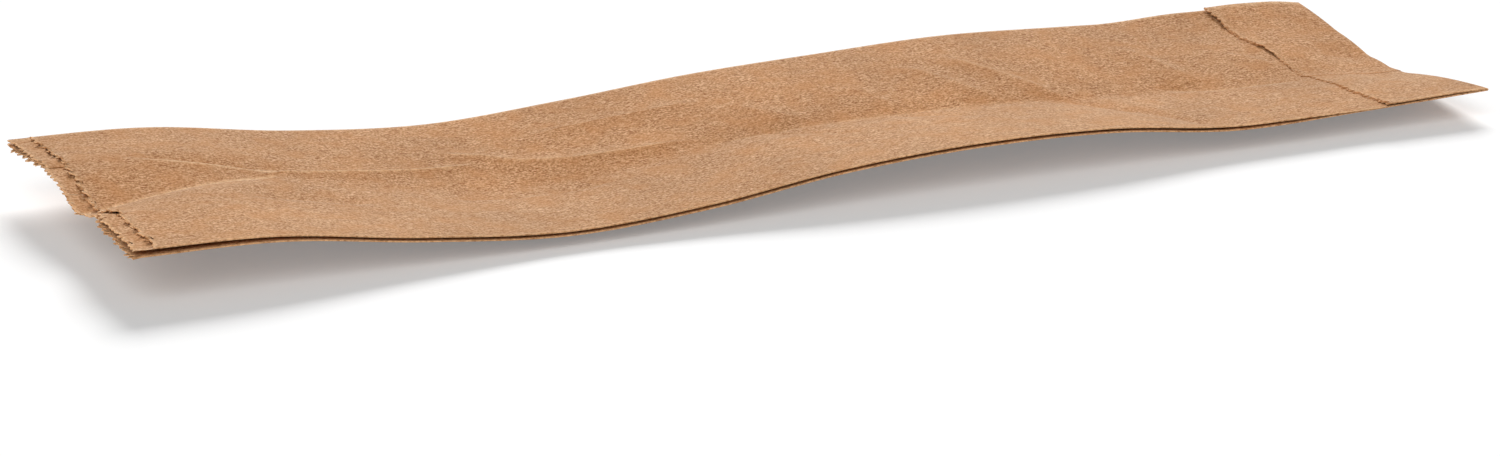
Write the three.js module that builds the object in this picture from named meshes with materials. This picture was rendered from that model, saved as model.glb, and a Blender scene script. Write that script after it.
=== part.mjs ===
// A paper wine bottle bag, folded flat. It is one sheet of kraft paper, lapped and glued into a tube with a
// gusset tucked into each side. Both ends are cut with a toothed edge, the mouth's top panel a little shorter
// than the rest, and the bottom is closed by folding the flat tube over its own top panel and gluing it down.
// The bag lies on its underside and keeps the soft wave that the paper has taken on.
// +X runs from the mouth to the bottom fold, +Y from the near side to the far side, +Z up.
import * as THREE from "three";

// Driving dimensions, in millimetres
const BAG_LENGTH = 406; // tips of the mouth's teeth to the bottom fold
const BAG_WIDTH = 108; // over the side folds
const GUSSET_DEPTH = 31.75; // how far each gusset tucks in from its side folds
const FLAP_LENGTH = 33.5; // bottom fold to the tips of the flap's teeth
const MOUTH_LIP = 5.5; // how far the underside and the gussets reach past the top panel
const SEAM_LAP = 12; // width of the glued lap down the middle of the underside
const SEAM_RAMP = 5; // width over which the lap's inner ply climbs onto the outer one
const TOOTH_PITCH = 2.7; // teeth of the cut edges
const TOOTH_DEPTH = 1.4;
const TOOTH_ROOT = 0.6; // uncut paper between the teeth and the first row of facets

// Paper and the air between its layers
const PAPER = 0.12; // thickness of the sheet
const LEAF_GAP = 0.14; // between layers that are pressed together
const SEAM_GLUE = 0.06; // between the two plies of the lap
const FLAP_GAP = 0.15; // between the flap and the panel under it
const GUSSET_GAP = 0.8; // between a gusset's two leaves, along the side folds
const MOUTH_GAP = 1.7; // the same at the mouth, where the gussets spring open
const FLARE_LENGTH = 70; // from the mouth to where the gussets have closed to GUSSET_GAP
const PRESS_LENGTH = 40; // before the flap, over which the layers come together

// Height of the underside above the table, at each tenth of the length from the mouth to the bottom fold
const NEAR_EDGE = [13.6, 13, 7.4, 3.6, 5.6, 10.4, 12.4, 11.4, 7, 7.3, 6.9];
const FAR_EDGE = [13.1, 12.9, 7.1, 3.7, 5.6, 8.3, 9.7, 10.5, 8.1, 8, 5.7];
// The valley between the two edges, at the same places: its lowest line, from the middle of the width,
// and how far that line lies below the edges
const VALLEY_LINE = [1, 5, 8, 3, -5, -3, -6, -10, -5, -5, -1];
const VALLEY_DEPTH = [3.5, 3, 2.8, 4.5, 3.8, 4, 4, 4.3, 4.3, 4, 6.6];
const VALLEY_ROUND = 6; // how softly its bottom is rounded
const MOUTH_REACH = 18; // how far it reaches to each side at the mouth
const SPREAD_LENGTH = 120; // from the mouth to where it reaches over the whole width

// Fineness of the facets
const ROW_STEP = 18; // longest facet along the bag
const SIDE_STEPS = 2; // facets round a side fold or a gusset's inner crease
const BOTTOM_STEPS = 4; // facets round the bottom fold

// Layers from the underside up. Where a layer's outer face looks up, it faces the open air or the gusset.
const UNDERSIDE = 0;
const LOWER_LEAF = 1;
const UPPER_LEAF = 2;
const TOP_PANEL = 3;
const looksUp = (layer) => layer === LOWER_LEAF || layer === TOP_PANEL;

const LAYER_STEP = PAPER + LEAF_GAP;
const FOLD_RADIUS = LAYER_STEP / 2;
const PRESSED_PILE = PAPER + TOP_PANEL * LAYER_STEP;
const SIDE_TANGENT = BAG_WIDTH / 2 - PAPER / 2 - FOLD_RADIUS; // where a layer begins to turn at a side fold
const CREASE_TANGENT = BAG_WIDTH / 2 - GUSSET_DEPTH + PAPER / 2 + FOLD_RADIUS; // and at an inner crease
const FOLD_CENTRE = PRESSED_PILE + FLAP_GAP / 2; // height of the bottom fold's axis over the underside
const FOLD_START = BAG_LENGTH - FOLD_CENTRE; // where the tube begins to turn over
const FLAP_EDGE = BAG_LENGTH - FLAP_LENGTH;

// A smooth curve through values that are evenly spaced along the bag
function profileAt(values, share) {
  const last = values.length - 1;
  const place = THREE.MathUtils.clamp(share, 0, 1) * last;
  const i = Math.min(Math.floor(place), last - 1);
  const slope = (k) => {
    const before = Math.max(k - 1, 0);
    const after = Math.min(k + 1, last);
    return (values[after] - values[before]) / (after - before);
  };
  const t = place - i;
  const t2 = t * t;
  const t3 = t2 * t;
  return (
    (2 * t3 - 3 * t2 + 1) * values[i] +
    (t3 - 2 * t2 + t) * slope(i) +
    (3 * t2 - 2 * t3) * values[i + 1] +
    (t3 - t2) * slope(i + 1)
  );
}

// The wave of the bag: height of its underside over the table, flat where it touches down
function waveHeight(along, across) {
  const share = along / BAG_LENGTH;
  const edges = THREE.MathUtils.lerp(
    profileAt(NEAR_EDGE, share),
    profileAt(FAR_EDGE, share),
    0.5 + across / BAG_WIDTH,
  );
  const soft = (distance) => Math.hypot(distance, VALLEY_ROUND) - VALLEY_ROUND;
  const line = profileAt(VALLEY_LINE, share);
  const spread = THREE.MathUtils.smoothstep(along, 0, SPREAD_LENGTH);
  const reach = THREE.MathUtils.lerp(MOUTH_REACH, BAG_WIDTH / 2, spread);
  const slopeWidth = across < line ? reach + line : reach - line;
  const sunk = Math.max(0, 1 - soft(across - line) / soft(slopeWidth));
  return Math.max(0, edges - profileAt(VALLEY_DEPTH, share) * sunk);
}

// Air between a gusset's leaves at its side folds, at a distance along the bag
function gussetGap(along) {
  const open = THREE.MathUtils.lerp(MOUTH_GAP, GUSSET_GAP, THREE.MathUtils.smoothstep(along, 0, FLARE_LENGTH));
  const pressed = THREE.MathUtils.smoothstep(along, FLAP_EDGE - PRESS_LENGTH, FLAP_EDGE);
  return THREE.MathUtils.lerp(open, LEAF_GAP, pressed);
}

// Height of a layer's middle in the flat pile. A gusset opens like a book from its inner crease outward.
function layerHeight(layer, across, along) {
  const outward = (Math.abs(across) - CREASE_TANGENT) / (SIDE_TANGENT - CREASE_TANGENT);
  const spread = (gussetGap(along) - LEAF_GAP) * THREE.MathUtils.clamp(outward, 0, 1);
  return PAPER / 2 + layer * LAYER_STEP + (layer >= UPPER_LEAF ? spread : 0);
}

// Columns of the sheet, in order round the tube, from the lap's inner ply to its outer ply

const panelBreaks = [0, SEAM_LAP / 2, SEAM_LAP / 2 + SEAM_RAMP, CREASE_TANGENT, SIDE_TANGENT];
panelBreaks.push((CREASE_TANGENT + SIDE_TANGENT) / 2);
const breaksAcross = [...new Set(panelBreaks.flatMap((b) => [-b, b]).map((b) => b + 0))].sort((a, b) => a - b);

function flatColumns(layer, from, to, options = {}) {
  const low = Math.min(from, to);
  const high = Math.max(from, to);
  const inside = breaksAcross.filter((across) => across >= low && across <= high);
  const ordered = from < to ? inside : inside.reverse();
  return ordered.map((across) => ({ layer, across, onTop: layer === TOP_PANEL, ...options }));
}

// A half turn of the paper from one layer to the next. Its flat ends are columns of the layers it joins.
function foldColumns(from, to, across, bulge) {
  const atSide = Math.abs(across) === SIDE_TANGENT;
  const columns = [];
  for (let step = 1; step < SIDE_STEPS; step += 1) {
    const angle = (Math.PI * step) / SIDE_STEPS;
    const share = step / SIDE_STEPS;
    const onTop = (to === TOP_PANEL && share >= 0.5) || (from === TOP_PANEL && share <= 0.5);
    columns.push({ fold: { from, to, bulge, angle, convex: atSide ? 1 : -1 }, across, onTop });
  }
  return columns;
}

const columns = [
  ...flatColumns(UNDERSIDE, SEAM_LAP / 2, -SIDE_TANGENT, { innerPly: true }),
  ...foldColumns(UNDERSIDE, LOWER_LEAF, -SIDE_TANGENT, -1),
  ...flatColumns(LOWER_LEAF, -SIDE_TANGENT, -CREASE_TANGENT),
  ...foldColumns(LOWER_LEAF, UPPER_LEAF, -CREASE_TANGENT, 1),
  ...flatColumns(UPPER_LEAF, -CREASE_TANGENT, -SIDE_TANGENT),
  ...foldColumns(UPPER_LEAF, TOP_PANEL, -SIDE_TANGENT, -1),
  ...flatColumns(TOP_PANEL, -SIDE_TANGENT, SIDE_TANGENT),
  ...foldColumns(TOP_PANEL, UPPER_LEAF, SIDE_TANGENT, 1),
  ...flatColumns(UPPER_LEAF, SIDE_TANGENT, CREASE_TANGENT),
  ...foldColumns(UPPER_LEAF, LOWER_LEAF, CREASE_TANGENT, -1),
  ...flatColumns(LOWER_LEAF, CREASE_TANGENT, SIDE_TANGENT),
  ...foldColumns(LOWER_LEAF, UNDERSIDE, SIDE_TANGENT, 1),
  ...flatColumns(UNDERSIDE, SIDE_TANGENT, -SEAM_LAP / 2),
];

// Where a column's paper lies in the bag's section: across, and height in the flat pile.
// face is 1 for the tube's outer face and -1 for its inner face.
function sectionPoint(column, along, face) {
  const half = (face * PAPER) / 2;
  if (column.fold) {
    const { from, to, bulge, angle, convex } = column.fold;
    const start = layerHeight(from, column.across, along);
    const end = layerHeight(to, column.across, along);
    const radius = Math.abs(end - start) / 2 + convex * half;
    const across = column.across + bulge * radius * Math.sin(angle);
    return new THREE.Vector2(across, (start + end) / 2 - Math.sign(end - start) * radius * Math.cos(angle));
  }
  const climb = (column.across + SEAM_LAP / 2 + SEAM_RAMP) / SEAM_RAMP;
  const lifted = column.innerPly ? (PAPER + SEAM_GLUE) * THREE.MathUtils.clamp(climb, 0, 1) : 0;
  const height = layerHeight(column.layer, column.across, along) + lifted;
  return new THREE.Vector2(column.across, height + (looksUp(column.layer) ? half : -half));
}

// Rows of the sheet, from the mouth along the bag, round the bottom fold and back along the flap

function rowsBetween(start, end, turn) {
  const count = Math.ceil(Math.abs(end - start) / ROW_STEP);
  return Array.from({ length: count }, (_, k) => ({
    along: THREE.MathUtils.lerp(start, end, (k + 1) / count),
    turn,
  }));
}

const lipRoot = MOUTH_LIP + TOOTH_DEPTH + TOOTH_ROOT;
const flapRoot = FLAP_EDGE + TOOTH_DEPTH + TOOTH_ROOT;
const rows = [
  { along: TOOTH_DEPTH + TOOTH_ROOT, turn: 0 },
  { along: MOUTH_LIP, turn: 0 },
  { along: lipRoot, turn: 0 },
  ...rowsBetween(lipRoot, flapRoot, 0),
  ...rowsBetween(flapRoot, FOLD_START, 0),
  ...Array.from({ length: BOTTOM_STEPS }, (_, k) => ({
    along: FOLD_START,
    turn: (Math.PI * (k + 1)) / BOTTOM_STEPS,
  })),
  ...rowsBetween(FOLD_START, flapRoot, Math.PI),
];
const lipRow = rows.findIndex((row) => row.along === lipRoot);

// Folds a point of the sheet into place in the bag
function placed(column, row, face) {
  const section = sectionPoint(column, row.along, face);
  const radius = FOLD_CENTRE - section.y;
  const along = row.along + radius * Math.sin(row.turn);
  const height = FOLD_CENTRE - radius * Math.cos(row.turn);
  return new THREE.Vector3(along - BAG_LENGTH / 2, section.x, waveHeight(along, section.x) + height);
}

// How far the cut edge stands back from the tips of its teeth. All layers are cut together.
const toothCount = Math.round((2 * SIDE_TANGENT) / TOOTH_PITCH);
const toothStep = (2 * SIDE_TANGENT) / toothCount;
function toothCut(across) {
  const phase = THREE.MathUtils.euclideanModulo((across + SIDE_TANGENT) / toothStep, 1);
  return TOOTH_DEPTH * (1 - Math.abs(2 * phase - 1));
}

// Points of the sheet, each one named by its place between two columns and its row
const points = new Map();
function pointAt(columnIndex, row, share = 0) {
  const name = `${(columnIndex + share).toFixed(5)} ${row.along.toFixed(4)} ${row.turn.toFixed(4)}`;
  if (!points.has(name)) {
    points.set(name, { index: points.size, columnIndex, row, share });
  }
  return points.get(name);
}

// Teeth between two neighbouring columns, as points of the cut edge from the first column to the second
function cutEdge(columnIndex, rowAt) {
  const first = columns[columnIndex].across;
  const second = columns[columnIndex + 1].across;
  const corners = [];
  for (let k = 1; k < 2 * toothCount; k += 1) {
    const share = ((k * toothStep) / 2 - SIDE_TANGENT - first) / (second - first || 1);
    if (first !== second && share > 1e-6 && share < 1 - 1e-6) {
      corners.push(share);
    }
  }
  corners.sort((a, b) => a - b);
  const row = (across) => rowAt(toothCut(across));
  return [
    pointAt(columnIndex, row(first)),
    ...corners.map((share) => pointAt(columnIndex, row(THREE.MathUtils.lerp(first, second, share)), share)),
    pointAt(columnIndex + 1, row(second)),
  ];
}

// Triangles of the sheet, as triples of its points, turned so that the tube's outer face is in front
const triangles = [];

function addQuad(columnIndex, rowIndex) {
  const a = pointAt(columnIndex, rows[rowIndex]);
  const b = pointAt(columnIndex, rows[rowIndex + 1]);
  const c = pointAt(columnIndex + 1, rows[rowIndex + 1]);
  const d = pointAt(columnIndex + 1, rows[rowIndex]);
  const acrossStep = columns[columnIndex + 1].across - columns[columnIndex].across;
  const alongStep = rows[rowIndex + 1].along - rows[rowIndex].along;
  if (acrossStep * alongStep >= 0) {
    triangles.push([a, b, c], [a, c, d]);
  } else {
    triangles.push([a, b, d], [b, c, d]);
  }
}

function addToothed(outline, alongSign) {
  const flat = outline.map(
    (p) => new THREE.Vector2(alongSign * p.row.along, p.columnIndex + p.share),
  );
  for (const [i, j, k] of THREE.ShapeUtils.triangulateShape(flat, [])) {
    triangles.push([outline[i], outline[j], outline[k]]);
  }
}

for (let i = 0; i + 1 < columns.length; i += 1) {
  const onTop = columns[i].onTop && columns[i + 1].onTop;
  const firstRow = onTop ? lipRow : 0;
  const tips = onTop ? MOUTH_LIP : 0;
  const mouth = cutEdge(i, (cut) => ({ along: tips + cut, turn: 0 }));
  addToothed([pointAt(i, rows[firstRow]), pointAt(i + 1, rows[firstRow]), ...mouth.reverse()], 1);
  for (let j = firstRow; j + 1 < rows.length; j += 1) {
    addQuad(i, j);
  }
  const lastRow = rows[rows.length - 1];
  const flapEnd = cutEdge(i, (cut) => ({ along: FLAP_EDGE + cut, turn: Math.PI }));
  addToothed([pointAt(i, lastRow), ...flapEnd, pointAt(i + 1, lastRow)], -1);
}

// The closed sheet: its outer face, its inner face and a wall along every cut edge
function sheetGeometry() {
  const count = points.size;
  const positions = new Float32Array(6 * count);
  for (const { index, columnIndex, row, share } of points.values()) {
    for (const [offset, face] of [[0, 1], [count, -1]]) {
      const spot = placed(columns[columnIndex], row, face);
      if (share > 0) {
        spot.lerp(placed(columns[columnIndex + 1], row, face), share);
      }
      spot.toArray(positions, 3 * (index + offset));
    }
  }
  const faces = [];
  const edges = new Map();
  for (const [a, b, c] of triangles) {
    faces.push(a.index, b.index, c.index, a.index + count, c.index + count, b.index + count);
    for (const [p, q] of [[a, b], [b, c], [c, a]]) {
      if (!edges.delete(`${q.index} ${p.index}`)) {
        edges.set(`${p.index} ${q.index}`, [p.index, q.index]);
      }
    }
  }
  for (const [p, q] of edges.values()) {
    faces.push(q, p, p + count, q, p + count, q + count);
  }
  const geometry = new THREE.BufferGeometry();
  geometry.setAttribute("position", new THREE.BufferAttribute(positions, 3));
  geometry.setIndex(faces);
  geometry.computeVertexNormals();
  return geometry;
}

const kraftPaper = new THREE.MeshStandardMaterial({ color: 0xc79c77, roughness: 0.85, metalness: 0 });
const bottleBag = new THREE.Mesh(sheetGeometry(), kraftPaper);
bottleBag.name = "bottle_bag";

const bag = new THREE.Group();
bag.add(bottleBag);
export default bag;
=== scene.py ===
import math
from collections import namedtuple

import bpy
import numpy as np
from mathutils import Matrix, Vector


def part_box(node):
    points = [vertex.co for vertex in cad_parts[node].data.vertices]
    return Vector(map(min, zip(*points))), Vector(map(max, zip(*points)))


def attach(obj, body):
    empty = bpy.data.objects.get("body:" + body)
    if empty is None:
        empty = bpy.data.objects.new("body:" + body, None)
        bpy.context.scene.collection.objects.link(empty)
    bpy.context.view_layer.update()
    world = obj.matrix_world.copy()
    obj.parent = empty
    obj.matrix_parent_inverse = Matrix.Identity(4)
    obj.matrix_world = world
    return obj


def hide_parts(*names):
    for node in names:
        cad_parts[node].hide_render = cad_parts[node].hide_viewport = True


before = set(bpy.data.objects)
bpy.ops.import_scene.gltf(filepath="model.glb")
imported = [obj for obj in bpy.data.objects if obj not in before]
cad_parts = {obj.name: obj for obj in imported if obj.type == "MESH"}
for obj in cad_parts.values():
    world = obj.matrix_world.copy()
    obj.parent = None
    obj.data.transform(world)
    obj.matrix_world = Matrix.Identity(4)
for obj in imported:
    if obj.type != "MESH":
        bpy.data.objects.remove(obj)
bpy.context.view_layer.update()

# A paper wine bottle bag, folded flat. One sheet of kraft paper is lapped and glued into a tube with a
# gusset tucked into each side, cut with toothed edges, and folded over and glued at the bottom.
# It lies in a soft wave.
# +X runs from the mouth to the bottom fold, +Y from the near side to the far side, +Z up. Metres.

MM = 0.001
RANDOM_SEED = 11

# Size of the folded bag
bag_low, bag_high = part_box("bottle_bag")
BAG_LENGTH = bag_high.x - bag_low.x
BAG_WIDTH = bag_high.y - bag_low.y
GUSSET_DEPTH = 31.75 * MM
FLAP_LENGTH = 33.5 * MM
MOUTH_LIP = 5.5 * MM  # how far the underside and the gussets reach past the top panel
SEAM_LAP = 12 * MM
SEAM_RAMP = 5 * MM

# Paper, and the air between its layers
PAPER = 0.075 * MM
NEAR_LEAF_GAP, FAR_LEAF_GAP = 0.28 * MM, 0.12 * MM  # inside the side folds
PRESSED_GAP = 0.02 * MM  # at the inner creases and under the glued flap
SEAM_GLUE = 0.01 * MM
FLAP_GAP = 0.03 * MM
PRESS_LENGTH = 40 * MM
FLARE_LENGTH = 70 * MM
NEAR_GAP, NEAR_MOUTH_GAP = 0.75 * MM, 1.5 * MM  # between a gusset's leaves, along its side folds
FAR_GAP, FAR_MOUTH_GAP = 0.35 * MM, 0.9 * MM
NEAR_CREASE_GAP, FAR_CREASE_GAP = 0.9 * MM, 0 * MM  # at the mouth, at the gusset's inner crease
CREASE_FLARE = 26 * MM
PANEL_SINK = 0.06 * MM  # the top panel sinks between the two gussets
SINK_WIDTH, PRESSED_SINK_WIDTH = 8 * MM, 4 * MM
SETTLE_LENGTH = 10 * MM  # from the bottom fold to where the flap lies flat between the gussets

# The wave: height of the underside at each tenth of the length, and the valley between the two edges
NEAR_EDGE = MM * np.array([13.8, 12.8, 7.2, 3.4, 5.4, 10.2, 12.2, 11.2, 6.8, 7.3, 8.4])
FAR_EDGE = MM * np.array([15, 13.7, 7.8, 4.4, 6.2, 9.1, 10.3, 11, 8.9, 6.5, 6])
VALLEY_LINE = MM * np.array([0, 2, 4, 2, -2, 3, 1, -2, -2, -4, -1])
VALLEY_DEPTH = MM * np.array([0, 0.1, 1.8, 3.72, 3.6, 3.8, 4.3, 4.8, 4.3, 3, 6.4])
VALLEY_ROUND = 1 * MM
NEAR_BEND = 1.25  # how much steeper the sides get towards the valley's line
FAR_BEND = 2.1

# Creases and dents, in millimetres. Each follows a line of (along, across) points. It stands up or sinks
# by its height, runs out over its near and its far width, and fades at its ends; a pair is its start and
# its end. Its bend is 1 for straight sides and more for hollow ones, near and far. Rub is how far its line
# is worn pale, partly real wear and partly a painted highlight along the crease.
Crease = namedtuple("Crease", "line height near far fade bend rub")


def crease(line, height, near, far, fade=6, bend=2, rub=0):
    lengths = [MM * np.broadcast_to(value, 2) for value in (height, near, far, fade)]
    return Crease(MM * np.array(line, float), *lengths, np.broadcast_to(bend, 2), rub)


CREASES = [
    # The mouth's dip, the humps beside it and the curl of its lip
    crease(
        [(-4, -6), (6, -4), (25, 1.5), (45, 7), (67, 13)],
        (-3.7, -0.8),
        near=(15, 6),
        far=(19, 15),
        fade=(0.1, 8),
        bend=(1.3, 1.2),
        rub=0.8,
    ),
    crease([(-4, 25), (30, 27), (60, 28)], (2.5, 0.6), 24, 26, (0.1, 14), 1.3),
    crease([(-4, -22), (30, -22), (60, -21)], (1.3, 0.1), 26, 13, (0.1, 10), 1.3),
    crease([(-1, -12), (-1, 14)], 1.2, 8, 4, 5),
    # Long creases over the first half
    crease([(26, 25.5), (38, 22), (52, 19), (68, 17.5)], -0.7, 4, 8, (8, 10)),
    crease([(26, 23.4), (38, 19.5), (52, 16.5), (69, 13.4)], 0.45, 6, 3, (6, 4), rub=0.8),
    crease([(62, 13.1), (80, 15), (100, 16.5), (121, 18)], 1, 7, 3.5, (8, 5), rub=0.8),
    crease(
        [(115, 28), (127, 23), (136, 16), (150, 11), (165, 8.5), (180, 7.5)],
        1,
        near=(13, 5),
        far=9,
        fade=(5, 8),
        rub=0.4,
    ),
    crease([(148, 32), (170, 32), (194, 31)], 0.8, 10, 8, 8),
    # Grooves along the near side
    crease([(50, -10), (65, -11), (80, -12.5)], -1.25, 5, 12, 6, (2, 1.3)),
    crease([(106, -5), (118, -6), (129, -7)], -1.1, 5, 11, (6, 5), (2, 1.3)),
    crease([(133, -8), (150, -9)], -1.1, 5, 12, 5, (2, 1.3)),
    # Ripples across the second half
    crease([(203, 24), (211, 15), (218, 7)], 0.6, 13, 7, 4),
    crease([(206, 3), (215, -4), (224, -14)], -0.7, 11, 8, 4),
    crease([(238, 24), (243, 14), (247, 5)], 0.55, 13, 7, 4),
    crease([(245, 0), (254, -6), (263, -14)], -0.6, 10, 8, 4),
    crease([(262, 30), (269, 17), (276, 4)], 0.75, 11, 6, 4, rub=0.2),
    crease([(277, 33), (285, 20), (295, 3)], 0.8, 11, 4, 5, rub=0.35),
    crease([(296, -2), (305, -16), (313, -30), (319, -48)], -1.15, 18, 8, 5),
    crease([(183, 3), (213, 3), (245, 1.5), (265, 0.5), (294, -1.5)], -0.55, 13, 9, 6, 1.3, 0.3),
    # Wrinkles before the flap, the flap's raised far corner and the dent in its fold
    crease([(332, 31), (338, 18), (342, 2)], 0.75, 11, 4, (5, 3), rub=0.2),
    crease([(329, 1), (345, -7), (370, -9)], -0.65, 5, 7, (4, 6), rub=0.4),
    crease([(361, 19), (368, 10), (371, 1)], 0.6, 10, 4, (4, 3)),
    crease([(350, 57), (375, 57), (404, 56)], 3.2, 25, 1, (16, 12)),
    crease([(377, 57), (390, 57)], 0.45, 20, 1),
    crease([(392, 12), (412, 12)], -2.2, 18, 36, (8, 0.1)),
    crease([(392, -9), (412, -9)], -0.8, 26, 9, (8, 0.1)),
    crease([(392, 31), (412, 31)], -1, 20, 22, (8, 0.1), 1.3),
]
RUB_AND_HIGHLIGHT_WIDTH = 1.5 * MM
RUB_AND_HIGHLIGHT_FADE = 8 * MM

# Teeth of the cut edges
TOOTH_PITCH = 2.7 * MM
TOOTH_POINTS = 8  # points of the cut edge for each tooth
TOOTH_DEPTH = 1.5 * MM
TOOTH_ROOT = 0.9 * MM
TOOTH_ROUND = 0.8  # 1 for pointed teeth, less for blunt ones
TOOTH_LENGTHS = 0.4, 1  # shares of a full tooth
TOOTH_CURLS = 0.5, 1  # shares of a full curl
BACK_CURL = -0.2  # factor for a tooth that curls the other way
TOOTH_LEAN = 0.25  # how far a tip strays sideways, as a share of the pitch
MOUTH_CURL, LIP_CURL = 0.5 * MM, 0.9 * MM
LIP_SINK = 0.08 * MM  # the most that a tip of the top panel sinks
EDGE_FRAY = 0.25 * MM
EDGE_RISE, EDGE_LIFT = 0.2 * MM, 0.12 * MM
LIFT_STEP = 8 * MM
CRUMB = 0.15  # unevenness of the torn fibres, as a share of a full curl
EDGE_FLUFF = 0.1 * MM, 0.35 * MM  # thickness of the torn fibres
RIM = 0.8 * MM  # how far back the fibres are torn
RIM_LIFT = 0.85  # share of a tip's lift
RIM_WEAR = 0.4  # share of a tip's wear
MOUTH_WEAR, FLAP_WEAR = 1, 0.3  # how pale the torn tips are
# The side folds' paleness is partly real wear and partly a painted highlight on the shaded folds
FOLD_WEAR_AND_HIGHLIGHT, BESIDE_FOLD_WEAR_AND_HIGHLIGHT = 1, 0.7  # and the side folds
FAR_CORNER = 0.5 * MM  # radius of the lip's far corner
# The gussets' teeth and the underside's below them reach out and hang, from the underside up
REACH = MM * np.array([0.7, 0.4, 0, 0])
HANG = MM * np.array([1, 0.5, 0.1, 0])
LEAST_HANG = 0.3  # share that a tooth without a curl hangs by

# The flap's cut edge strays from a straight line, and lifts off in places: (across, amount) in millimetres
FLAP_STRAY = [
    (-54, 0.5), (-32, 0.6), (-20, 2.2), (-7, 2), (-5, 0.4),
    (4, 0.5), (13, 1.4), (20, 1), (30, -0.6), (54, 0.2),
]
FLAP_LIFT = [
    (-54, 0.1), (-46, 0.03), (-30, 0.02), (-8, 0.02), (-5, 0.01), (1, 0.01), (4, 0.2), (8, 0.03),
    (14, 0.5), (20, 0.5), (25, 0.03), (38, 0.03), (43, 0.65), (50, 0.65), (54, 0.4),
]
FLAP_LIFT_LENGTH = 22 * MM
FLAP_TEETH = 0.7  # share of a full tooth
FLAP_STAIR = 0.2 * MM  # each ply reaches a little past the one above it
FLAP_OVERHANG = 0.6  # but stops short of it by this share of the lift
NEAR_FLAP_LIFT = 0.4 * MM  # along its near side fold
NEAR_LIFT_WIDTH = 9 * MM

# Fineness of the mesh
ROW_STEP = 3.2 * MM
FINE_ROWS, FINE_STOPS = 3, 4  # parts of a mesh cell beside a crease
FINE_REACH = 1.85 * MM
BROAD_CREASE = 35 * MM  # width from which a crease needs no fine cells
FOLD_STEPS = 4
BOTTOM_STEPS = 8
EDGE_ROWS = 6  # tips and rims of the mouth, the lip and the flap

# Layers from the underside up
UNDERSIDE, LOWER_LEAF, UPPER_LEAF, TOP_PANEL = range(4)
LAYERS = 4
GUSSET_LEAVES = 2
TURNED_OVER = -0.99  # cosine of the bottom fold's turn, below which the sheet is the flap

NEAR_STEP = PAPER + NEAR_LEAF_GAP
FAR_STEP = PAPER + FAR_LEAF_GAP
PRESSED_STEP = PAPER + PRESSED_GAP
SIDE_TANGENT = BAG_WIDTH / 2 - PAPER / 2 - NEAR_STEP / 2
CREASE_TANGENT = BAG_WIDTH / 2 - GUSSET_DEPTH + PAPER / 2 + PRESSED_STEP / 2
PRESSED_PILE = PAPER + TOP_PANEL * PRESSED_STEP
FOLD_CENTRE = PRESSED_PILE + FLAP_GAP / 2
FOLD_START = BAG_LENGTH - FOLD_CENTRE
FLAP_EDGE = BAG_LENGTH - FLAP_LENGTH
TOOTH_COUNT = round(2 * SIDE_TANGENT / TOOTH_PITCH)
TOOTH_STEP = 2 * SIDE_TANGENT / TOOTH_COUNT
TEETH_FADE = 2 * TOOTH_STEP  # over which the teeth fade out at the folds

random = np.random.default_rng(RANDOM_SEED)


def lerp(start, end, share):
    return start + (end - start) * share


def smoothstep(low, high, value):
    t = np.clip((value - low) / (high - low), 0, 1)
    return t * t * (3 - 2 * t)


def profile(values, share):
    """A smooth curve through values that are evenly spaced along the bag."""
    last = len(values) - 1
    place = np.clip(share, 0, 1) * last
    i = np.minimum(np.floor(place).astype(int), last - 1)
    slopes = np.gradient(values)
    t = place - i
    rise = t * t * (3 - 2 * t)
    leave = t * (1 - t) ** 2
    arrive = t * t * (t - 1)
    return lerp(values[i], values[i + 1], rise) + leave * slopes[i] + arrive * slopes[i + 1]


def by_points(points, across):
    """Straight stretches between (across, amount) points in millimetres."""
    places, amounts = MM * np.array(points, float).T
    return np.interp(across, places, amounts)


def follow(line, along, across):
    """How far points lie from a line, on which side, at which place along it, and the line's length."""
    lengths = np.hypot(*np.diff(line, axis=0).T)
    starts = np.concatenate([[0], np.cumsum(lengths)])
    nearest = np.full(np.broadcast(along, across).shape, np.inf)
    side = np.zeros_like(nearest)
    place = np.zeros_like(nearest)
    for k, length in enumerate(lengths):
        step = (line[k + 1] - line[k]) / length
        forward = (along - line[k][0]) * step[0] + (across - line[k][1]) * step[1]
        sideways = (across - line[k][1]) * step[0] - (along - line[k][0]) * step[1]
        distance = np.hypot(sideways, forward - np.clip(forward, 0, length))
        closer = distance < nearest
        nearest = np.where(closer, distance, nearest)
        side = np.where(closer, sideways, side)
        place = np.where(closer, starts[k] + forward, place)
    return nearest, side, place, starts[-1]


def crease_height(along, across, made):
    """Height that one crease adds at each point."""
    _, side, place, length = follow(made.line, along, across)
    share = np.clip(place / length, 0, 1)
    from_start = smoothstep(-made.fade[0], made.fade[0], place)
    to_end = smoothstep(-made.fade[1], made.fade[1], length - place)
    ends = from_start * to_end
    width = np.where(side < 0, lerp(*made.near, share), lerp(*made.far, share))
    bend = np.where(side < 0, *made.bend)
    return lerp(*made.height, share) * ends * (1 - np.minimum(1, np.abs(side) / width)) ** bend


def crease_rub_and_highlight(along, across):
    """How far creases are worn pale at each point, from 0 to 1: partly real wear and partly a painted
    highlight along their crests.
    """
    worn = np.zeros(np.broadcast(along, across).shape)
    for made in CREASES:
        distance, _, place, length = follow(made.line, along, across)
        ends = smoothstep(0, RUB_AND_HIGHLIGHT_FADE, np.minimum(place, length - place))
        worn = np.maximum(worn, made.rub * ends * np.clip(1 - distance / RUB_AND_HIGHLIGHT_WIDTH, 0, 1))
    return worn


def beside_crease(along, across):
    sharp = [made for made in CREASES if made.near[0] + made.far[0] < BROAD_CREASE]
    distances = [follow(made.line, along, across)[0] for made in sharp]
    return np.min(distances, axis=0) < FINE_REACH


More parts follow.
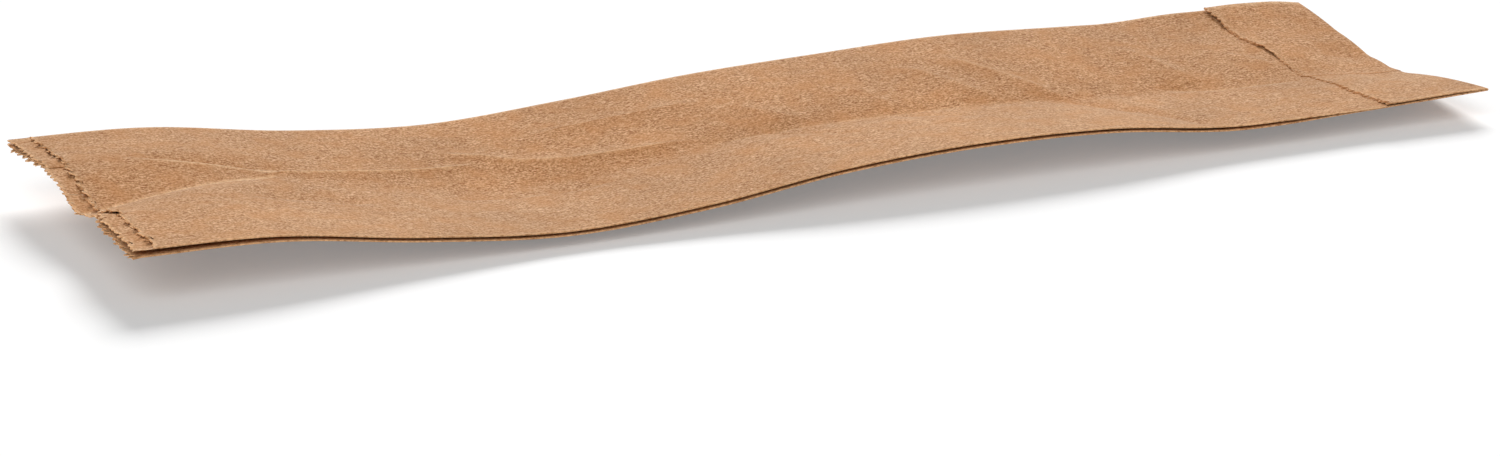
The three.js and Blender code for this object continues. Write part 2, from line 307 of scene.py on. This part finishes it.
def wave_height(along, across):
    """Height of the bag's underside over the floor."""
    share = along / BAG_LENGTH
    edges = lerp(profile(NEAR_EDGE, share), profile(FAR_EDGE, share), 0.5 + across / BAG_WIDTH)
    line = profile(VALLEY_LINE, share)
    is_near = across < line
    slope_width = BAG_WIDTH / 2 + np.where(is_near, line, -line)
    away = np.hypot(across - line, VALLEY_ROUND) - VALLEY_ROUND
    sunk = np.maximum(0, 1 - away / slope_width) ** np.where(is_near, NEAR_BEND, FAR_BEND)
    height = edges - profile(VALLEY_DEPTH, share) * sunk
    for made in CREASES:
        height = height + crease_height(along, across, made)
    return np.maximum(0, height)


def pressed(along):
    """How far the layers are pressed together: 0 in the open bag, 1 under the flap."""
    return smoothstep(FLAP_EDGE - PRESS_LENGTH, FLAP_EDGE, along)


def between_gussets(across, width):
    """1 in the middle of the bag, falling to 0 at the gussets' inner creases."""
    return smoothstep(0, width, CREASE_TANGENT - np.abs(across))


def layer_height(layer, across, along):
    """Height of a layer's middle in the flat pile. A gusset opens like a book from its inner crease."""
    is_near = across < 0
    loose = 1 - pressed(along)
    outward = np.clip((np.abs(across) - CREASE_TANGENT) / (SIDE_TANGENT - CREASE_TANGENT), 0, 1)
    step = lerp(PRESSED_STEP, np.where(is_near, NEAR_STEP, FAR_STEP), outward * loose)
    mouth_gap = np.where(is_near, NEAR_MOUTH_GAP, FAR_MOUTH_GAP)
    body_gap = np.where(is_near, NEAR_GAP, FAR_GAP)
    leaf_gap = np.where(is_near, NEAR_LEAF_GAP, FAR_LEAF_GAP)
    side_gap = lerp(mouth_gap, body_gap, smoothstep(0, FLARE_LENGTH, along)) - leaf_gap
    flare = 1 - smoothstep(0, CREASE_FLARE, along)
    crease_gap = np.where(is_near, NEAR_CREASE_GAP, FAR_CREASE_GAP) * flare
    spread = lerp(crease_gap, side_gap, outward) * loose
    sink_width = lerp(PRESSED_SINK_WIDTH, SINK_WIDTH, loose)
    most_sink = lerp(GUSSET_LEAVES * PRESSED_STEP, PANEL_SINK + crease_gap, loose)
    sink = most_sink * between_gussets(across, sink_width)
    return (
        PAPER / 2
        + layer * step
        + np.where(layer >= UPPER_LEAF, spread, 0)
        - np.where(layer == TOP_PANEL, sink, 0)
    )


def flap_lift(across, along):
    """How far the flap stands off the bag, most at its cut edge.

    Between the gussets it settles by their leaves, which are missing there in the bag and in the flap.
    """
    from_edge = 1 - smoothstep(0, FLAP_LIFT_LENGTH, along - FLAP_EDGE)
    from_fold = smoothstep(0, SETTLE_LENGTH, FOLD_START - along)
    settled = 2 * GUSSET_LEAVES * PRESSED_STEP * between_gussets(across, PRESSED_SINK_WIDTH)
    near = NEAR_FLAP_LIFT * smoothstep(-NEAR_LIFT_WIDTH, 0, -across - BAG_WIDTH / 2)
    return by_points(FLAP_LIFT, across) * from_edge + (near - settled) * from_fold


# Columns of the sheet, in order round the tube from the lap's inner ply to its outer ply.
# A flat column starts and ends on one layer; one in a fold turns by an angle from a layer to the next.
Column = namedtuple("Column", "start end across angle bulge convex on_top inner_ply main")


def flat_columns(layer, first, last, step, inner_ply=False):
    """Columns across one layer: the mesh's own at each step, and finer ones between for the cut edges."""
    low, high = sorted((first, last))
    fine_step = TOOTH_STEP / TOOTH_POINTS
    regular = np.arange(math.ceil(2 * SIDE_TANGENT / step) + 1) * step - SIDE_TANGENT
    inside = regular[(regular > low + fine_step) & (regular < high - fine_step)]
    stops = np.array([low, *inside, high])
    if last < first:
        stops = stops[::-1]
    on_top = layer == TOP_PANEL
    columns = []
    for start, end in zip(stops, stops[1:]):
        parts = max(1, round(abs(end - start) / fine_step))
        for part in range(parts):
            across = lerp(start, end, part / parts)
            columns.append(Column(layer, layer, across, 0, 0, 0, on_top, inner_ply, part == 0))
    columns.append(Column(layer, layer, last, 0, 0, 0, on_top, inner_ply, True))
    return columns


def fold_columns(start, end, across, bulge):
    at_side = abs(across) == SIDE_TANGENT
    convex = 1 if at_side else -1
    columns = []
    for step in range(1, FOLD_STEPS):
        turned = step / FOLD_STEPS
        on_top = (end == TOP_PANEL and turned >= 0.5) or (start == TOP_PANEL and turned <= 0.5)
        columns.append(Column(start, end, across, math.pi * turned, bulge, convex, on_top, False, True))
    return columns


SHEET_COLUMNS = [
    *flat_columns(UNDERSIDE, SEAM_LAP / 2, -SIDE_TANGENT, TOOTH_STEP, inner_ply=True),
    *fold_columns(UNDERSIDE, LOWER_LEAF, -SIDE_TANGENT, -1),
    *flat_columns(LOWER_LEAF, -SIDE_TANGENT, -CREASE_TANGENT, TOOTH_STEP),
    *fold_columns(LOWER_LEAF, UPPER_LEAF, -CREASE_TANGENT, 1),
    *flat_columns(UPPER_LEAF, -CREASE_TANGENT, -SIDE_TANGENT, TOOTH_STEP),
    *fold_columns(UPPER_LEAF, TOP_PANEL, -SIDE_TANGENT, -1),
    *flat_columns(TOP_PANEL, -SIDE_TANGENT, SIDE_TANGENT, TOOTH_STEP / 2),
    *fold_columns(TOP_PANEL, UPPER_LEAF, SIDE_TANGENT, 1),
    *flat_columns(UPPER_LEAF, SIDE_TANGENT, CREASE_TANGENT, TOOTH_STEP),
    *fold_columns(UPPER_LEAF, LOWER_LEAF, CREASE_TANGENT, -1),
    *flat_columns(LOWER_LEAF, CREASE_TANGENT, SIDE_TANGENT, TOOTH_STEP),
    *fold_columns(LOWER_LEAF, UNDERSIDE, SIDE_TANGENT, 1),
    *flat_columns(UNDERSIDE, SIDE_TANGENT, -SEAM_LAP / 2, TOOTH_STEP),
]
col = Column(*(np.array(values) for values in zip(*SHEET_COLUMNS)))


def sheet_point(columns, along, turn, lift, thickness, face):
    """Places points of the sheet in the bag. face is 1 on the tube's outer face, -1 on its inner face."""
    start, end, across, angle, bulge, convex, _, inner_ply, _ = columns
    half = face * thickness / 2
    low = layer_height(start, across, along)
    high = layer_height(end, across, along)
    looks_up = np.where((start == LOWER_LEAF) | (start == TOP_PANEL), 1, -1)
    climb = np.clip((across + SEAM_LAP / 2 + SEAM_RAMP) / SEAM_RAMP, 0, 1)
    lapped = np.where(inner_ply, (PAPER + SEAM_GLUE) * climb, 0)
    radius = np.abs(high - low) / 2 + convex * half
    in_fold = start != end
    fold_height = (low + high) / 2 - np.sign(high - low) * radius * np.cos(angle)
    height = np.where(in_fold, fold_height, low + lapped + looks_up * half)
    sideways = across + np.where(in_fold, bulge * radius * np.sin(angle), 0)
    arm = FOLD_CENTRE - height
    forward = along + arm * np.sin(turn)
    raised = FOLD_CENTRE - arm * np.cos(turn) + lift
    raised = raised + np.where(np.cos(turn) < TURNED_OVER, flap_lift(across, along), 0)
    return np.stack(
        np.broadcast_arrays(forward - BAG_LENGTH / 2, sideways, wave_height(forward, sideways) + raised),
        axis=-1,
    )


def rows_between(start, end):
    count = math.ceil(abs(end - start) / ROW_STEP)
    return list(np.linspace(start, end, count + 1)[1:])


MOUTH_ROOT = TOOTH_DEPTH + TOOTH_ROOT
LIP_ROOT = MOUTH_LIP + MOUTH_ROOT
FLAP_ROOT = FLAP_EDGE + MM * max(stray for _, stray in FLAP_STRAY) + MOUTH_ROOT
body_rows = [
    MOUTH_ROOT,
    lerp(MOUTH_ROOT, MOUTH_LIP, 0.5),
    MOUTH_LIP,
    LIP_ROOT,
    *rows_between(LIP_ROOT, FLAP_ROOT),
    *rows_between(FLAP_ROOT, FOLD_START),
]
turn_rows = [math.pi * (k + 1) / BOTTOM_STEPS for k in range(BOTTOM_STEPS)]
flap_rows = rows_between(FOLD_START, FLAP_ROOT)
row_along = np.array(body_rows + [FOLD_START] * BOTTOM_STEPS + flap_rows)
row_turn = np.array([0] * len(body_rows) + turn_rows + [math.pi] * len(flap_rows))
LIP_ROW = body_rows.index(MOUTH_LIP)


def slow_noise(across):
    """Uneven amounts from -1 to 1 that change slowly across the bag."""
    places = np.arange(-BAG_WIDTH / 2 - LIFT_STEP, BAG_WIDTH / 2 + LIFT_STEP, LIFT_STEP)
    return np.interp(across, places, random.uniform(-1, 1, len(places)))


def cut_edge(columns, layer):
    """How far points of a toothed edge stand back from the longest tip, and their share of a full curl."""
    shape = (LAYERS, TOOTH_COUNT + 1)
    length = random.uniform(*TOOTH_LENGTHS, shape)
    curl = random.uniform(*TOOTH_CURLS, shape) * random.choice([BACK_CURL, 1], shape)
    lean = random.uniform(-TOOTH_LEAN, TOOTH_LEAN, shape)
    fray = random.normal(0, EDGE_FRAY, len(columns.across))
    crumbs = random.normal(0, CRUMB, len(columns.across))
    place = np.clip((columns.across + SIDE_TANGENT) / TOOTH_STEP, 0, TOOTH_COUNT)
    tooth = np.round(place).astype(int)
    pointed = np.clip(1 - 2 * np.abs(place - tooth - lean[layer, tooth]), 0, 1) ** TOOTH_ROUND
    is_flat = columns.start == columns.end
    back = TOOTH_DEPTH * (1 - length[layer, tooth] * pointed) + np.where(is_flat, fray, 0)
    return np.maximum(0, back), curl[layer, tooth] * pointed + np.where(is_flat, crumbs, 0)


def mouth_edge(columns):
    back, curl = cut_edge(columns, columns.start)
    inset = np.clip(SIDE_TANGENT - columns.across, 0, FAR_CORNER)
    corner = FAR_CORNER - np.sqrt(FAR_CORNER**2 - (FAR_CORNER - inset) ** 2)
    toothed = smoothstep(0, TEETH_FADE, SIDE_TANGENT - columns.across)
    at_gusset = smoothstep(0, TEETH_FADE, np.abs(columns.across) - CREASE_TANGENT)
    loose = at_gusset * toothed
    along = np.maximum(back * toothed, corner) - REACH[columns.start] * loose
    return along, MOUTH_CURL * curl * toothed - HANG[columns.start] * (LEAST_HANG + curl) * loose


def lip_edge(columns):
    back, curl = cut_edge(columns, columns.start)
    lift = EDGE_RISE + LIP_CURL * curl + EDGE_LIFT * slow_noise(columns.across)
    inside = smoothstep(0, TEETH_FADE, SIDE_TANGENT - np.abs(columns.across))
    return MOUTH_LIP + back, np.maximum(lift * inside, -LIP_SINK)


def flap_edge(columns):
    back, _ = cut_edge(columns, 0 * columns.start)
    stair = (FLAP_OVERHANG * by_points(FLAP_LIFT, columns.across) - FLAP_STAIR) * columns.start
    return FLAP_EDGE + by_points(FLAP_STRAY, columns.across) + FLAP_TEETH * back + stair, 0 * back


main = np.flatnonzero(col.main)
main_col = Column(*(values[main] for values in col))
STOPS = len(main)
ROWS = len(row_along)


def fine_lattice():
    """Extra points in the mesh's cells beside creases. Gives those cells, and a number for each point."""
    flat = main_col.start == main_col.end
    in_panel = flat & np.isin(main_col.start, (TOP_PANEL, UNDERSIDE))
    is_flat = in_panel[:-1] & in_panel[1:] & (main_col.start[:-1] == main_col.start[1:])
    is_level = row_turn[:-1] == row_turn[1:]
    along = (row_along[:-1] + row_along[1:]) / 2
    across = (main_col.across[:-1] + main_col.across[1:]) / 2
    cells = beside_crease(along[:, None], across[None, :]) & is_level[:, None] & is_flat[None, :]
    on_top = main_col.on_top[:-1] & main_col.on_top[1:]
    cells[: LIP_ROW + 1, on_top] = False
    lattice = {}
    for row, stop in np.argwhere(cells):
        for i in range(FINE_ROWS + 1):
            for j in range(FINE_STOPS + 1):
                if i % FINE_ROWS or j % FINE_STOPS:
                    place = (int(row) * FINE_ROWS + i, int(stop) * FINE_STOPS + j)
                    lattice.setdefault(place, ROWS * STOPS + len(lattice))
    return cells, lattice


def sheet_places(lattice):
    """Every place of the sheet in the mesh: (columns, along, turn, lift, thickness), and its wear, which
    also carries a painted highlight along creases and side folds.
    """
    # Side folds and creases are worn pale, partly real wear and partly a painted highlight
    at_fold = np.where(main_col.start != main_col.end, FOLD_WEAR_AND_HIGHLIGHT, BESIDE_FOLD_WEAR_AND_HIGHLIGHT)
    column_wear_and_highlight = np.where(np.abs(main_col.across) == SIDE_TANGENT, at_fold, 0)
    rubbed_and_highlit = crease_rub_and_highlight(row_along[:, None], main_col.across[None, :])
    wear_and_highlight = [np.maximum(rubbed_and_highlit, np.maximum(column_wear_and_highlight[None, :], np.sin(row_turn)[:, None])).ravel()]
    places = [(main_col, row_along[:, None], row_turn[:, None], 0, PAPER)]

    row, i = np.divmod(np.array([place[0] for place in lattice]), FINE_ROWS)
    stop, j = np.divmod(np.array([place[1] for place in lattice]), FINE_STOPS)
    along = lerp(row_along[row], row_along[np.minimum(row + 1, ROWS - 1)], i / FINE_ROWS)
    next_across = main_col.across[np.minimum(stop + 1, STOPS - 1)]
    across = lerp(main_col.across[stop], next_across, j / FINE_STOPS)
    columns = Column(*(values[stop] for values in main_col))._replace(across=across)
    places.append((columns, along, row_turn[row], 0, PAPER))
    wear_and_highlight.append(crease_rub_and_highlight(along, across))

    is_flat = col.start == col.end
    edges = [(mouth_edge, 0, MOUTH_WEAR), (lip_edge, 0, MOUTH_WEAR), (flap_edge, math.pi, FLAP_WEAR)]
    for make_edge, turn, torn in edges:
        along, lift = make_edge(col)
        fluff = np.where(is_flat, random.uniform(*EDGE_FLUFF, len(along)), PAPER)
        places.append((col, along, turn, lift, fluff))
        wear_and_highlight.append(np.full(len(along), torn))
        places.append((col, along + RIM, turn, RIM_LIFT * lift, PAPER))
        wear_and_highlight.append(np.full(len(along), RIM_WEAR * torn))
    return places, np.concatenate(wear_and_highlight)


def sheet_faces(cells, lattice):
    """Faces of one side of the sheet, as rings of point numbers."""
    first = ROWS * STOPS + len(lattice)
    edge_points = np.arange(first, first + EDGE_ROWS * len(col.across)).reshape(EDGE_ROWS, -1)
    mouth_tip, mouth_rim, lip_tip, lip_rim, flap_tip, flap_rim = edge_points.tolist()

    def point(row, stop):
        if row % FINE_ROWS or stop % FINE_STOPS:
            return lattice.get((row, stop))
        return row // FINE_ROWS * STOPS + stop // FINE_STOPS

    def run(row, stop, down, right):
        """Points from one corner of a cell towards the next one, which is left out."""
        parts = FINE_ROWS if down else FINE_STOPS
        places = [(row * FINE_ROWS + down * n, stop * FINE_STOPS + right * n) for n in range(parts)]
        return [found for found in (point(*place) for place in places) if found is not None]

    faces = []

    def add(ring):
        kept = [a for a, b in zip(ring, ring[1:] + ring[:1]) if a != b]
        if len(kept) > 2:
            faces.append(kept)

    for k in range(STOPS - 1):
        i, j = main[k], main[k + 1]
        on_top = col.on_top[i] and col.on_top[j]
        row = LIP_ROW + 1 if on_top else 0
        tip = (lip_tip if on_top else mouth_tip)[i : j + 1]
        rim = (lip_rim if on_top else mouth_rim)[i : j + 1]
        if on_top and not (k and col.on_top[main[k - 1]]):
            tip[0] = rim[0] = LIP_ROW * STOPS + k
        if on_top and not (k + 2 < STOPS and col.on_top[main[k + 2]]):
            tip[-1] = rim[-1] = LIP_ROW * STOPS + k + 1
        for n in range(j - i):
            add([tip[n], rim[n], rim[n + 1], tip[n + 1]])
        add([rim[0], *run(row, k, 0, 1), row * STOPS + k + 1, *rim[:0:-1]])
        for r in range(row, ROWS - 1):
            if not cells[r, k]:
                add(
                    run(r, k, 1, 0)
                    + run(r + 1, k, 0, 1)
                    + run(r + 1, k + 1, -1, 0)
                    + run(r, k + 1, 0, -1)
                )
                continue
            for m in range(r * FINE_ROWS, (r + 1) * FINE_ROWS):
                for n in range(k * FINE_STOPS, (k + 1) * FINE_STOPS):
                    add([point(m, n), point(m + 1, n), point(m + 1, n + 1), point(m, n + 1)])
        tip = flap_tip[i : j + 1]
        rim = flap_rim[i : j + 1]
        add([(ROWS - 1) * STOPS + k, *rim, *run(ROWS - 1, k + 1, 0, -1)])
        for n in range(j - i):
            add([rim[n], tip[n], tip[n + 1], rim[n + 1]])
    return faces


def bag_mesh():
    """The closed sheet: outer face, inner face and a wall along every cut edge. Also gives its wear and
    painted highlight.
    """
    cells, lattice = fine_lattice()
    places, wear_and_highlight = sheet_places(lattice)
    faces = sheet_faces(cells, lattice)

    def side(face):
        return np.concatenate([sheet_point(*place, face).reshape(-1, 3) for place in places])

    sides = [side(1), side(-1)]
    total = len(sides[0])
    open_edges = {}
    for face in faces:
        for a, b in zip(face, face[1:] + face[:1]):
            if open_edges.pop((b, a), None) is None:
                open_edges[(a, b)] = True
    inner = [[index + total for index in reversed(face)] for face in faces]
    walls = [[b, a, a + total, b + total] for a, b in open_edges]
    everything = faces + inner + walls
    used = np.unique(np.concatenate([np.array(face) for face in everything]))
    renumber = np.full(2 * total, -1)
    renumber[used] = np.arange(len(used))
    rings = [renumber[face].tolist() for face in everything]
    return np.concatenate(sides)[used], rings, np.tile(wear_and_highlight, 2)[used]


# Painted light: paper that leans towards the key lamp is painted a little paler, a painted sheen, and
# warmer where it leans the other way, a painted shade
SHEEN_SIDE = np.array([0.41, 0.91, 0])
SHARP_ANGLE = math.radians(50)


def set_values(mesh, name, values):
    mesh.attributes.new(name, "FLOAT", "POINT").data.foreach_set("value", values)


def make_bag():
    points, faces, wear_and_highlight = bag_mesh()
    mesh = bpy.data.meshes.new("kraft_bottle_bag")
    mesh.from_pydata(points.tolist(), [], faces)
    set_values(mesh, "wear_and_highlight", wear_and_highlight)
    normals = np.empty(points.size)
    mesh.vertices.foreach_get("normal", normals)
    # The paper's lean towards the key lamp, which drives its painted sheen and painted shade
    set_values(mesh, "lean", normals.reshape(-1, 3) @ SHEEN_SIDE)
    mesh.shade_smooth()
    mesh.set_sharp_from_angle(angle=SHARP_ANGLE)
    bag = bpy.data.objects.new("kraft_bottle_bag", mesh)
    bpy.context.collection.objects.link(bag)
    return bag


def add_noise(tree, coords, scale, detail, roughness=0.5, stretch=None):
    """A noise over the object's own coordinates, drawn out along X if a stretch is given."""
    noise = tree.nodes.new("ShaderNodeTexNoise")
    noise.inputs["Scale"].default_value = scale
    noise.inputs["Detail"].default_value = detail
    noise.inputs["Roughness"].default_value = roughness
    if stretch:
        mapping = tree.nodes.new("ShaderNodeMapping")
        mapping.inputs["Scale"].default_value = (1 / stretch, 1, 1)
        tree.links.new(coords, mapping.inputs["Vector"])
        coords = mapping.outputs["Vector"]
    tree.links.new(coords, noise.inputs["Vector"])
    return noise.outputs["Fac"]


def add_range(tree, value, low, high, to_low, to_high):
    """Maps a value's range to another one."""
    ranged = tree.nodes.new("ShaderNodeMapRange")
    ranged.inputs["From Min"].default_value = low
    ranged.inputs["From Max"].default_value = high
    ranged.inputs["To Min"].default_value = to_low
    ranged.inputs["To Max"].default_value = to_high
    tree.links.new(value, ranged.inputs["Value"])
    return ranged.outputs["Result"]


def add_values(tree, name):
    """Values that the mesh carries under a name."""
    values = tree.nodes.new("ShaderNodeAttribute")
    values.attribute_name = name
    return values.outputs["Fac"]


def add_math(tree, operation, first, second):
    made = tree.nodes.new("ShaderNodeMath")
    made.operation = operation
    tree.links.new(first, made.inputs[0])
    tree.links.new(second, made.inputs[1])
    return made.outputs[0]


def add_mix(tree, share, first, colour):
    """Mixes a set colour into another by a share."""
    mix = tree.nodes.new("ShaderNodeMix")
    mix.data_type = "RGBA"
    mix.inputs["B"].default_value = colour
    tree.links.new(share, mix.inputs["Factor"])
    tree.links.new(first, mix.inputs["A"])
    return mix.outputs["Result"]


DARK_FIBRE = (0.22, 0.065, 0.015, 1)
KRAFT = (0.489, 0.263, 0.121, 1)
PALE_FIBRE = (0.76, 0.48, 0.30, 1)
PALE_WEAR_AND_HIGHLIGHT = (0.86, 0.575, 0.34, 1)
WARM_CLOUD = (0.51, 0.236, 0.088, 1)
# Painted sheen on paper leaning towards the key lamp, and the opposite painted warm shade on paper leaning
# away
SHEEN_AND_SHADE_TINT = (-0.32, -0.03, 0.32)  # change of red, green and blue at a full lean to the pale side
MOST_LEAN = 0.35
PAPER_ROUGHNESS, PAPER_GLOSS = 0.88, 0.12
BUMP_STRENGTH, BUMP_HEIGHT = 0.5, 0.06 * MM
DARK_AT, KRAFT_AT, PALE_AT = 0.18, 0.5, 0.82  # from dark to pale fibres
# Noises in the paper: scale to the metre, detail and roughness
GRAIN = 1500, 2, 0.6
FIBRES = 2200, 2, 0.5
FIBRE_STRETCH = 4
CLOUDS = 130, 3
PATCHES = 30, 2
SPECKS = 900, 1
RUBBING = 800, 3, 0.7
# The range of each noise that shows, and the range that it becomes
GRAIN_RANGE = 0.25, 0.75, 0, 0.6
FIBRE_RANGE = 0.25, 0.75, 0, 0.4
CLOUD_RANGE = 0.42, 0.68, 0, 0.5
PATCH_RANGE = 0.3, 0.7, 0.92, 1.08
SPECK_RANGE = 0.7, 0.76, 0, 0.5
RUBBING_RANGE = 0.38, 0.62, 0.1, 1
LEAN_RANGE = -MOST_LEAN, MOST_LEAN, -MOST_LEAN, MOST_LEAN


def kraft_material():
    """Uncoated kraft paper: fibre grain, long fibres, warm clouds, specks, folds and creases rubbed pale
    (partly real wear and partly a painted highlight), and a painted sheen and shade by how the paper leans
    towards the key lamp.
    """
    material = bpy.data.materials.new("kraft_paper_fibre")
    material.use_nodes = True
    tree = material.node_tree
    shader = tree.nodes["Principled BSDF"]
    shader.inputs["Roughness"].default_value = PAPER_ROUGHNESS
    shader.inputs["Specular IOR Level"].default_value = PAPER_GLOSS
    coords = tree.nodes.new("ShaderNodeTexCoord").outputs["Object"]

    grain = add_range(tree, add_noise(tree, coords, *GRAIN), *GRAIN_RANGE)
    fibres = add_range(tree, add_noise(tree, coords, *FIBRES, stretch=FIBRE_STRETCH), *FIBRE_RANGE)
    clouds = add_range(tree, add_noise(tree, coords, *CLOUDS), *CLOUD_RANGE)
    patches = add_range(tree, add_noise(tree, coords, *PATCHES), *PATCH_RANGE)
    specks = add_range(tree, add_noise(tree, coords, *SPECKS), *SPECK_RANGE)
    rubbing = add_range(tree, add_noise(tree, coords, *RUBBING), *RUBBING_RANGE)

    texture = add_math(tree, "ADD", grain, fibres)
    ramp = tree.nodes.new("ShaderNodeValToRGB")
    ramp.color_ramp.elements[0].position = DARK_AT
    ramp.color_ramp.elements[0].color = DARK_FIBRE
    ramp.color_ramp.elements[1].position = PALE_AT
    ramp.color_ramp.elements[1].color = PALE_FIBRE
    ramp.color_ramp.elements.new(KRAFT_AT).color = KRAFT
    tree.links.new(texture, ramp.inputs["Fac"])

    colour = add_mix(tree, clouds, ramp.outputs["Color"], WARM_CLOUD)
    colour = add_mix(tree, specks, colour, DARK_FIBRE)
    # Wear and painted highlight: torn tips, side folds and creases turn pale, the folds and creases partly
    # as a painted highlight
    rubbed_and_highlit = add_math(tree, "MULTIPLY", add_values(tree, "wear_and_highlight"), rubbing)
    colour = add_mix(tree, rubbed_and_highlit, colour, PALE_WEAR_AND_HIGHLIGHT)
    # Painted sheen and shade: paper leaning towards the key lamp turns paler and bluer, paper leaning away
    # turns warmer
    sheen_and_shade_share = add_range(tree, add_values(tree, "lean"), *LEAN_RANGE)
    tint = tree.nodes.new("ShaderNodeVectorMath")
    tint.operation = "SCALE"
    tint.inputs[0].default_value = SHEEN_AND_SHADE_TINT
    tree.links.new(sheen_and_shade_share, tint.inputs["Scale"])
    tinted = tree.nodes.new("ShaderNodeVectorMath")
    tinted.operation = "MULTIPLY_ADD"
    tree.links.new(colour, tinted.inputs[0])
    tree.links.new(tint.outputs["Vector"], tinted.inputs[1])
    tree.links.new(colour, tinted.inputs[2])
    shade = tree.nodes.new("ShaderNodeVectorMath")
    shade.operation = "SCALE"
    tree.links.new(tinted.outputs["Vector"], shade.inputs[0])
    tree.links.new(patches, shade.inputs["Scale"])
    tree.links.new(shade.outputs["Vector"], shader.inputs["Base Color"])

    bump = tree.nodes.new("ShaderNodeBump")
    bump.inputs["Strength"].default_value = BUMP_STRENGTH
    bump.inputs["Distance"].default_value = BUMP_HEIGHT
    tree.links.new(texture, bump.inputs["Height"])
    tree.links.new(bump.outputs["Normal"], shader.inputs["Normal"])
    return material


FLOOR_SIZE = 6.0
FLOOR_PAINT = (0.8, 0.8, 0.8, 1)
FLOOR_GLOW = 0.23  # seen by the eye alone, so that the floor looks white


def seen_by_eye(tree):
    """1 for what the camera sees, straight, mirrored or through glass, and 0 for light on the object."""
    path = tree.nodes.new("ShaderNodeLightPath")
    straight = add_math(tree, "MAXIMUM", path.outputs["Is Camera Ray"], path.outputs["Is Glossy Ray"])
    return add_math(tree, "MAXIMUM", straight, path.outputs["Is Transmission Ray"])


def make_floor():
    """A plain white floor that keeps the object's shadow."""
    half = FLOOR_SIZE / 2
    corners = [(-half, -half, 0), (half, -half, 0), (half, half, 0), (-half, half, 0)]
    mesh = bpy.data.meshes.new("floor")
    mesh.from_pydata(corners, [], [(0, 1, 2, 3)])
    floor = bpy.data.objects.new("floor", mesh)
    bpy.context.collection.objects.link(floor)
    material = bpy.data.materials.new("white_floor")
    material.use_nodes = True
    tree = material.node_tree
    tree.nodes.clear()
    output = tree.nodes.new("ShaderNodeOutputMaterial")
    paint = tree.nodes.new("ShaderNodeBsdfDiffuse")
    paint.inputs["Color"].default_value = FLOOR_PAINT
    glow = tree.nodes.new("ShaderNodeEmission")
    tree.links.new(add_range(tree, seen_by_eye(tree), 0, 1, 0, FLOOR_GLOW), glow.inputs["Strength"])
    both = tree.nodes.new("ShaderNodeAddShader")
    tree.links.new(paint.outputs[0], both.inputs[0])
    tree.links.new(glow.outputs[0], both.inputs[1])
    tree.links.new(both.outputs[0], output.inputs["Surface"])
    mesh.materials.append(material)
    return floor


# Light, as shares of the brightness of a level white sheet
WORLD_SHARE = 0.15
KEY_SHARE = 0.59
KEY_AZIMUTH, KEY_ELEVATION, KEY_WIDTH = (math.radians(angle) for angle in (61, 34, 26))
FILL_SHARE = 0.27
FILL_AZIMUTH, FILL_ELEVATION, FILL_WIDTH = (math.radians(angle) for angle in (-130, 40, 50))


def make_world():
    world = bpy.data.worlds.new("studio")
    bpy.context.scene.world = world
    world.use_nodes = True
    tree = world.node_tree
    tree.nodes.clear()
    output = tree.nodes.new("ShaderNodeOutputWorld")
    light = tree.nodes.new("ShaderNodeBackground")
    light.inputs["Color"].default_value = (1, 1, 1, 1)
    strength = add_range(tree, seen_by_eye(tree), 0, 1, WORLD_SHARE, 1)
    tree.links.new(strength, light.inputs["Strength"])
    tree.links.new(light.outputs[0], output.inputs["Surface"])


def make_lamp(name, share, azimuth, elevation, width):
    """A distant soft lamp. Azimuth turns from +X towards +Y."""
    data = bpy.data.lights.new(name, "SUN")
    data.energy = share * math.pi / math.sin(elevation)
    data.angle = width
    lamp = bpy.data.objects.new(name, data)
    bpy.context.collection.objects.link(lamp)
    flat = math.cos(elevation)
    direction = Vector((math.cos(azimuth) * flat, math.sin(azimuth) * flat, math.sin(elevation)))
    lamp.location = direction
    lamp.rotation_mode = "QUATERNION"
    lamp.rotation_quaternion = direction.to_track_quat("Z", "Y")


# Camera, as the photograph was taken
CAMERA_PLACE = Vector((-611.43, -1332.28, 446.98)) * MM
CAMERA_AZIMUTH = math.radians(-24.49)
CAMERA_ELEVATION = math.radians(17.702)
CAMERA_ROLL = math.radians(-0.197)
CAMERA_LENS = 131.28
SENSOR_WIDTH = 36


def make_camera():
    data = bpy.data.cameras.new("camera")
    data.sensor_fit = "HORIZONTAL"
    data.sensor_width = SENSOR_WIDTH
    data.lens = CAMERA_LENS
    camera = bpy.data.objects.new("camera", data)
    bpy.context.collection.objects.link(camera)
    back = Vector(
        (
            math.sin(CAMERA_AZIMUTH) * math.cos(CAMERA_ELEVATION),
            -math.cos(CAMERA_AZIMUTH) * math.cos(CAMERA_ELEVATION),
            math.sin(CAMERA_ELEVATION),
        )
    )
    level = Vector((math.cos(CAMERA_AZIMUTH), math.sin(CAMERA_AZIMUTH), 0))
    right = Matrix.Rotation(CAMERA_ROLL, 3, back) @ level
    up = back.cross(right)
    turned = Matrix((right, up, back)).transposed().to_4x4()
    camera.matrix_world = Matrix.Translation(CAMERA_PLACE) @ turned
    bpy.context.scene.camera = camera


bag = make_bag()
bag.data.materials.append(kraft_material())
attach(bag, "root")
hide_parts("bottle_bag")
floor = make_floor()
make_world()
make_lamp("key", KEY_SHARE, KEY_AZIMUTH, KEY_ELEVATION, KEY_WIDTH)
make_lamp("fill", FILL_SHARE, FILL_AZIMUTH, FILL_ELEVATION, FILL_WIDTH)
make_camera()
bpy.context.scene.view_settings.view_transform = "Standard"
